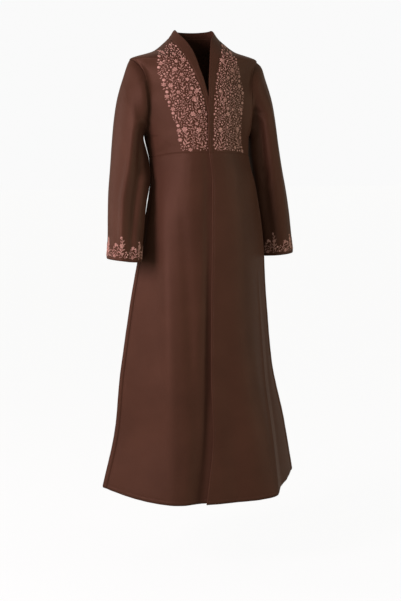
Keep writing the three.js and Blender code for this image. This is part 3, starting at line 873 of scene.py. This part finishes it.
def filled(parts, circles, spots, rng, air):
    """The motifs as one mesh, with small ones between the larger ones wherever there is room."""
    circles = np.array(circles)
    for k in rng.permutation(len(spots)):
        x, y = spots[k]
        for radius in (BLOSSOM, BUD, LEAFLET, KNOT):
            if radius > KNOT and rng.random() < SKIPPED or not is_free(circles, x, y, radius, air):
                continue
            turn = rng.uniform(0, 2 * pi)
            if radius == BLOSSOM:
                parts += flower((x, y), BLOSSOM, turn)
            elif radius == LEAFLET and rng.random() < LEAFY:
                root = (x - 3.0 * cos(turn), y - 3.0 * sin(turn))
                parts.append(leaf(root, turn, 7.4, 2.9))
            else:
                parts.append(dome((x, y), radius, 0.5 + 0.3 * radius, 8 if radius > KNOT else 6))
            circles = np.vstack([circles, (x, y, radius)])
            break
    return joined(parts)


def bodice_motifs(side):
    """The motifs of one front, flat, with x outwards from the middle of the body."""
    parts, circles = [], []
    for share, z, *form in BODICE_SPRAYS:
        spray(parts, circles, (mix(*zone_at(side, z), share), z), *form)
    for share, pitch, radius in BORDERS:
        for k, z in enumerate(np.arange(EMBROIDERY_FOOT + 5, EMBROIDERY_TOP, pitch)):
            inner, outer = zone_at(side, z)
            sway = BORDER_SWAY * sin(2.4 * k)
            spot = (float(mix(inner + radius, outer - radius, share)) + sway, float(z) + sway)
            if is_free(circles, *spot, radius * 0.8, 0):
                knot = [dome(spot, radius * 0.8, 1.35, 12)]
                parts += flower(spot, radius * 1.1, k) if k % 2 else knot
                circles.append((*spot, radius))
    rng = np.random.default_rng(BODICE_SEED)
    spots = []
    for z in np.arange(EMBROIDERY_FOOT + 1.5, EMBROIDERY_TOP, BODICE_FILL):
        inner, outer = zone_at(side, z)
        spots += [(x, z + rng.uniform(-0.6, 0.6)) for x in np.arange(inner + 1, outer, BODICE_FILL)]
    return filled(parts, circles, spots, rng, BODICE_AIR)


def pressed_on(side, flat):
    """Motif points (x outwards, z, height) moved onto one of the fronts."""
    def surface(x, z):
        return front_points(side, turn_of(side * x, z), z)

    x, z, height = flat.T
    step = 0.5
    points = surface(x, z)
    over, down = surface(x + step, z) - points, surface(x, z - step) - points
    normals = unit(np.cross(down, over)) * side
    relief = crease_relief(points[:, 0], points[:, 2], FRONT_CREASES[side])
    return points + normals * (height + relief)[:, None]


def add_bodice_embroidery(side, material):
    flat, faces = bodice_motifs(side)
    points = pressed_on(side, flat)
    if side > 0:
        faces = faces[:, ::-1]
    return mesh_object("embroidery_" + name_of(side), points, faces, material)


# Sprays of a cuff, repeated round it: place round and height over the edge, heading in degrees,
# length, bend in degrees, pairs of leaves, leaf size and tip.
CUFF_SPRAYS = [
    (0, 14, 62, 48, 46, 4, 11.0, "bud"),
    (8, 12, 118, 34, -44, 3, 10.0, "flower"),
    (27, 14, 84, 30, -34, 3, 8.5, "flower"),
    (40, 12, 50, 30, 62, 3, 8.0, "bud"),
]
CUFF_REPEATS, CUFF_REPEAT = 6, 52  # number, and the length round that the sprays are placed on
CUFF_FOOT, CUFF_TOP = 10.5, 30.0
CUFF_KNOTS = 9.5  # pitch of the row of knots and flowers near the edge
CUFF_FILL, CUFF_AIR, CUFF_SEED = 2.2, 1.0, 5
CUFF_ROW = -12  # row of the sleeve's grid on which the girth is measured


def cuff_motifs(girth):
    """The motifs round a cuff, flat: millimetres round it and up from its edge."""
    parts, circles = [], []
    pitch = girth / CUFF_REPEATS
    for repeat in range(CUFF_REPEATS):
        for start, height, heading, length, *form in CUFF_SPRAYS:
            root = (repeat * pitch + start * pitch / CUFF_REPEAT, height)
            grown = length * (1 + 0.12 * sin(2.1 * repeat + start))
            spray(parts, circles, root, heading, grown, *form)
    for k, spot in enumerate(np.arange(3, girth - 3, CUFF_KNOTS)):
        centre = (spot, CUFF_FOOT + 2.4)
        if is_free(circles, *centre, BUD * 0.6, 0):
            parts += flower(centre, BLOSSOM, k) if k % 3 == 1 else [dome(centre, BUD, 1.3, 10)]
            circles.append((*centre, BUD))
    rng = np.random.default_rng(CUFF_SEED)
    spots = [(x, y + rng.uniform(-0.7, 0.7)) for y in np.arange(CUFF_FOOT, CUFF_TOP, CUFF_FILL)
             for x in np.arange(2, girth - 2, CUFF_FILL)]
    return filled(parts, circles, spots, rng, CUFF_AIR)


def add_cuff_embroidery(side, grid, material):
    """Motifs pressed onto the finished grid of a sleeve, which is read between its points."""
    points, normals, across, down = grid
    up = (down[-1:] - down).mean(1)[::-1]
    round_it = across[CUFF_ROW]
    flat, faces = cuff_motifs(round_it[-1])
    row = len(up) - 1 - np.interp(flat[:, 1], up, np.arange(len(up)))
    column = np.interp(flat[:, 0], round_it, np.arange(len(round_it)))
    j = np.clip(row.astype(int), 0, len(up) - 2)
    i = np.clip(column.astype(int), 0, len(round_it) - 2)
    s, t = (row - j)[:, None], (column - i)[:, None]

    def read(values):
        top = mix(values[j, i], values[j, i + 1], t)
        return mix(top, mix(values[j + 1, i], values[j + 1, i + 1], t), s)

    placed = read(points) + unit(read(normals)) * flat[:, 2:]
    return mesh_object("cuff_embroidery_" + name_of(side), placed, faces, material)


# ---- materials ----
def cloth_shader(roughness, anisotropy, sheen, sheen_tint, gloss, gloss_tint):
    """The constants of a principled shader for cloth or thread."""
    return {
        "Roughness": roughness,
        "Anisotropic": anisotropy,
        "Sheen Weight": sheen,
        "Sheen Roughness": 0.4,
        "Sheen Tint": (*sheen_tint, 1),
        "Specular IOR Level": gloss,
        "Specular Tint": (*gloss_tint, 1),
    }


SATIN_SHADER = cloth_shader(0.44, 0.35, 0.12, (0.9, 0.5, 0.38), 0.16, (1.0, 0.6, 0.45))
THREAD_SHADER = cloth_shader(0.42, 0.3, 0.15, (1.0, 0.75, 0.7), 0.4, (1.0, 0.75, 0.68))
# The darker and the lighter tone that each colour drifts between.
SATIN_TONES = ((0.058, 0.0252, 0.0158), (0.072, 0.0314, 0.0196))
THREAD_TONES = ((0.34, 0.17, 0.135), (0.62, 0.36, 0.30))
SEWING_TONES = ((0.045, 0.019, 0.013), (0.07, 0.03, 0.021))
THREAD_STRANDS, SEWING_STRANDS = 900.0, 1400.0  # scales of the strands of a thread
RIB_DEPTH = 0.0002  # metres


def node(tree, kind, **settings):
    """A node whose inputs, or otherwise its properties, have these values."""
    made = tree.nodes.new(kind)
    for key, value in settings.items():
        if key in made.inputs:
            made.inputs[key].default_value = value
        else:
            setattr(made, key, value)
    return made


def base_material(name, constants):
    """A material, its tree and its principled shader, with constants set on the shader's sockets."""
    material = bpy.data.materials.new(name)
    material.use_nodes = True
    tree = material.node_tree
    shader = tree.nodes["Principled BSDF"]
    for socket, value in constants.items():
        shader.inputs[socket].default_value = value
    return material, tree, shader


def mottled(tree, vector, scale, detail, tones):
    """A colour that drifts between two tones."""
    noise = node(tree, "ShaderNodeTexNoise", Scale=scale, Detail=detail)
    ramp = node(tree, "ShaderNodeValToRGB")
    for stop, position, tone in zip(ramp.color_ramp.elements, (0.32, 0.68), tones):
        stop.position, stop.color = position, (*tone, 1)
    tree.links.new(vector, noise.inputs["Vector"])
    tree.links.new(noise.outputs["Fac"], ramp.inputs["Fac"])
    return ramp.outputs["Color"]


def bump_of(tree, height, strength, distance, under=None):
    """A bump from a height texture, over another bump where one is given."""
    bump = node(tree, "ShaderNodeBump", Strength=strength, Distance=distance)
    tree.links.new(height.outputs["Fac"], bump.inputs["Height"])
    if under:
        tree.links.new(under, bump.inputs["Normal"])
    return bump.outputs["Normal"]


def rib_bump(tree, vector, scale, angle, strength, under=None):
    """Fine parallel ribs."""
    turned = node(tree, "ShaderNodeMapping")
    turned.inputs["Rotation"].default_value = (0, 0, angle)
    ribs = node(tree, "ShaderNodeTexWave", Scale=scale, Distortion=0.6, Detail=1.0)
    tree.links.new(vector, turned.inputs["Vector"])
    tree.links.new(turned.outputs["Vector"], ribs.inputs["Vector"])
    return bump_of(tree, ribs, strength, RIB_DEPTH, under)


def ripple_bump(tree, vector, scale, strength, distance):
    noise = node(tree, "ShaderNodeTexNoise", Scale=scale, Detail=2.0)
    tree.links.new(vector, noise.inputs["Vector"])
    return bump_of(tree, noise, strength, distance)


def satin_material():
    """Stiff satin: a fine twill, slight unevenness, slow drifts of colour and a soft sheen."""
    material, tree, shader = base_material("satin", SATIN_SHADER)
    place = node(tree, "ShaderNodeUVMap", uv_map="cloth").outputs["UV"]
    tree.links.new(mottled(tree, place, 7.0, 4.0, SATIN_TONES), shader.inputs["Base Color"])
    normal = ripple_bump(tree, place, scale=26.0, strength=0.16, distance=0.004)
    normal = rib_bump(tree, place, scale=520.0, angle=0.7, strength=0.22, under=normal)
    normal = rib_bump(tree, place, scale=760.0, angle=-0.9, strength=0.14, under=normal)
    tree.links.new(normal, shader.inputs["Normal"])
    return material


def thread_material(name, tones, strands):
    """Glossy embroidery or sewing thread, with its strands."""
    material, tree, shader = base_material(name, THREAD_SHADER)
    place = node(tree, "ShaderNodeTexCoord").outputs["Object"]
    tree.links.new(mottled(tree, place, 160.0, 2.0, tones), shader.inputs["Base Color"])
    normal = rib_bump(tree, place, scale=strands, angle=0.6, strength=0.5)
    tree.links.new(normal, shader.inputs["Normal"])
    return material


def declare(node_name):
    """Hides the imported solid that a shell stands for."""
    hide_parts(node_name)


def stitched(name, rows, material):
    return mesh_object(name, *joined(rows), material)


def add_front(side, satin, thread, sewing):
    """The three pieces of one front, with their topstitching and embroidery."""
    name = name_of(side)
    edge = "first_column" if side > 0 else "last_column"
    band = front_panel(side, *band_grid(side), ("front", "seam", "seam", "seam"), 1)
    bodice = front_panel(side, *bodice_grid(side), ("seam", "seam", "seam", "seam"), 3)
    skirt = front_panel(side, *skirt_grid(side), ("front", "welt", "seam", "hem"), 5)
    band_shell = cloth_shell("neck_band_cloth_" + name, band, satin)
    bodice_shell = cloth_shell("front_bodice_cloth_" + name, bodice, satin)
    skirt_shell = cloth_shell("front_skirt_cloth_" + name, skirt, satin)
    band_sewing = stitched("neck_band_stitching_" + name, [stitches(band, edge, FRONT_STITCH)], sewing)
    rows = [stitches(skirt, edge, FRONT_STITCH, 2), stitches(skirt, "last_row", HEM_STITCH, 6)]
    skirt_sewing = stitched("skirt_stitching_" + name, rows, sewing)
    motifs = add_bodice_embroidery(side, thread)
    declare("neck_band_" + name)
    declare("front_bodice_" + name)
    declare("front_skirt_" + name)


def add_back(satin, sewing):
    back = back_panel(*back_grid(), ("seam", "seam", "seam", "hem"), 11)
    band = back_panel(*back_band_grid(), ("seam", "seam", "turned", "seam"), 13)
    shell = cloth_shell("back_cloth", back, satin)
    hem = stitched("back_stitching", [stitches(back, "last_row", HEM_STITCH, 6)], sewing)
    declare("back")
    band_shell = cloth_shell("neck_band_cloth_back", band, satin)
    declare("neck_band_back")


def add_sleeve(side, satin, thread, sewing):
    name = name_of(side)
    grid = sleeve_panel(side)
    shell = cloth_shell("sleeve_cloth_" + name, tucked_in(grid, side), satin)
    cuff = stitched("cuff_stitching_" + name, [stitches(grid, "last_row", CUFF_STITCH, 2)], sewing)
    motifs = add_cuff_embroidery(side, grid, thread)
    declare("sleeve_" + name)


satin = satin_material()
thread = thread_material("embroidery_thread", THREAD_TONES, THREAD_STRANDS)
sewing = thread_material("sewing_thread", SEWING_TONES, SEWING_STRANDS)
add_back(satin, sewing)
for side in (-1, 1):
    add_front(side, satin, thread, sewing)
    add_sleeve(side, satin, thread, sewing)


# ---- floor, light and camera ----
FLOOR_Z, FLOOR_REACH = -1.5, 30.0
FLOOR_SHADER = {
    "Base Color": (0.05, 0.05, 0.05, 1),
    "Roughness": 0.9,
    "Emission Color": (1, 1, 1, 1),
    "Emission Strength": 0.925,
}
WORLD_LIGHT, WORLD_COLOUR, WORLD_SEEN = 0.28, (1, 0.97, 0.84, 1), 0.955
PANEL, LOW_PANEL = (0.9, 1.5), (1.2, 0.8)  # width and height of the lights
# Lights: name, place, target, size, watts and colour.
LIGHTS = [
    ("key", (-2.65, -1.41, 0.3), (0, 0, -0.5), PANEL, 82, (1, 0.775, 0.86)),
    ("side", (-2.72, 1.27, 0.3), (0, 0, -0.5), PANEL, 20, (1, 0.82, 0.8)),
    ("fill", (2.6, -1.5, 0.3), (0, 0, -0.5), PANEL, 14, (1, 0.98, 0.8)),
    ("low_left", (-1.93, -2.3, -1.1), (0, 0, -0.9), LOW_PANEL, 7, (1, 1, 1)),
    ("low_right", (2.6, -1.5, -1.1), (0, 0, -0.9), LOW_PANEL, 10, (1, 0.82, 0.68)),
]
AZIMUTH, PITCH = radians(18), radians(6.714)
CAMERA_PLACE = (-1.2169, -3.8105, -0.255)
LENS_MM, SENSOR_MM = 82.06, 36.0


def add_floor():
    """A white floor that lights nothing else, as a matt studio floor far below."""
    square = ((-1, -1), (1, -1), (1, 1), (-1, 1))
    corners = [(x * FLOOR_REACH, y * FLOOR_REACH, FLOOR_Z) for x, y in square]
    mesh = bpy.data.meshes.new("floor")
    mesh.from_pydata(corners, [], [(0, 1, 2, 3)])
    mesh.materials.append(base_material("floor", FLOOR_SHADER)[0])
    floor = new_object("floor", mesh)
    floor.visible_diffuse = floor.visible_glossy = False


def add_light(name, place, target, size, energy, colour):
    data = bpy.data.lights.new(name, "AREA")
    data.shape, data.size, data.size_y = "RECTANGLE", size[0], size[1]
    data.energy, data.color = energy, colour
    light = new_object(name, data)
    light.location = place
    light.rotation_euler = (Vector(target) - Vector(place)).to_track_quat("-Z", "Y").to_euler()


def add_world():
    """Soft light from all round, with a white studio behind the object."""
    world = bpy.data.worlds.new("studio")
    world.use_nodes = True
    tree = world.node_tree
    soft = tree.nodes["Background"]
    soft.inputs["Color"].default_value = WORLD_COLOUR
    soft.inputs["Strength"].default_value = WORLD_LIGHT
    white = node(tree, "ShaderNodeBackground", Strength=WORLD_SEEN, Color=(1, 1, 1, 1))
    ray, both = node(tree, "ShaderNodeLightPath"), node(tree, "ShaderNodeMixShader")
    tree.links.new(ray.outputs["Is Camera Ray"], both.inputs["Fac"])
    tree.links.new(soft.outputs[0], both.inputs[1])
    tree.links.new(white.outputs[0], both.inputs[2])
    tree.links.new(both.outputs[0], tree.nodes["World Output"].inputs["Surface"])
    scene.world = world


def add_camera():
    data = bpy.data.cameras.new("camera")
    data.lens, data.sensor_width, data.sensor_fit = LENS_MM, SENSOR_MM, "AUTO"
    camera = new_object("camera", data)
    camera.location = CAMERA_PLACE
    level = cos(PITCH)
    ahead = (sin(AZIMUTH) * level, cos(AZIMUTH) * level, -sin(PITCH))
    camera.rotation_euler = Vector(ahead).to_track_quat("-Z", "Y").to_euler()
    scene.camera = camera


add_floor()
for light in LIGHTS:
    add_light(*light)
add_world()
add_camera()
scene.view_settings.view_transform = "Standard"
